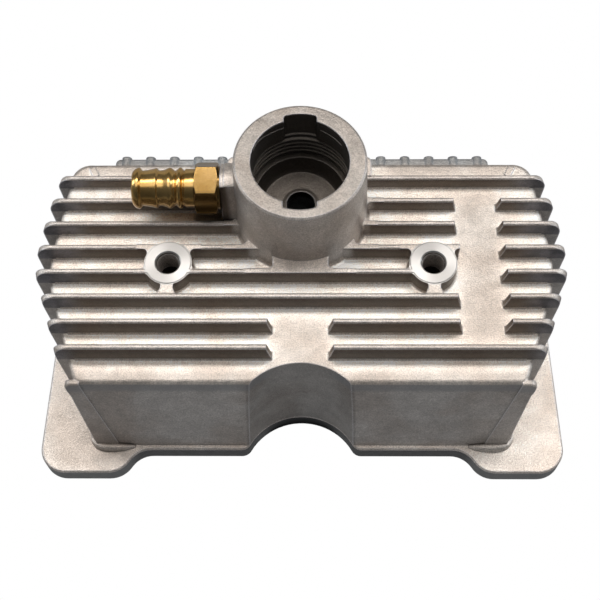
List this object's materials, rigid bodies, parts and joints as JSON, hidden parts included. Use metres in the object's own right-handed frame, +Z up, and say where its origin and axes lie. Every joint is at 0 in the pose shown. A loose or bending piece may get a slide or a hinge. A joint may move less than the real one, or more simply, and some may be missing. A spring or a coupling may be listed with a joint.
{
  "type": "engine valve cover",
  "caption": "Finned cast aluminium engine valve cover with a bayonet filler neck, stud bosses, an arched front wall and a brass breather hose fitting.",
  "frame": {"origin": "centre of the gasket face", "axes": "+X along the fins to the right, +Y to the rear, +Z up out of the top plate"},
  "size_m": [0.252, 0.145, 0.117],
  "materials": {
    "cast_aluminium": "sand-cast, satin",
    "brass": "turned, bright"
  },
  "bodies": {
    "root": {"valve_cover": "cast_aluminium", "hose_fitting": "brass"}
  },
  "joints": []
}
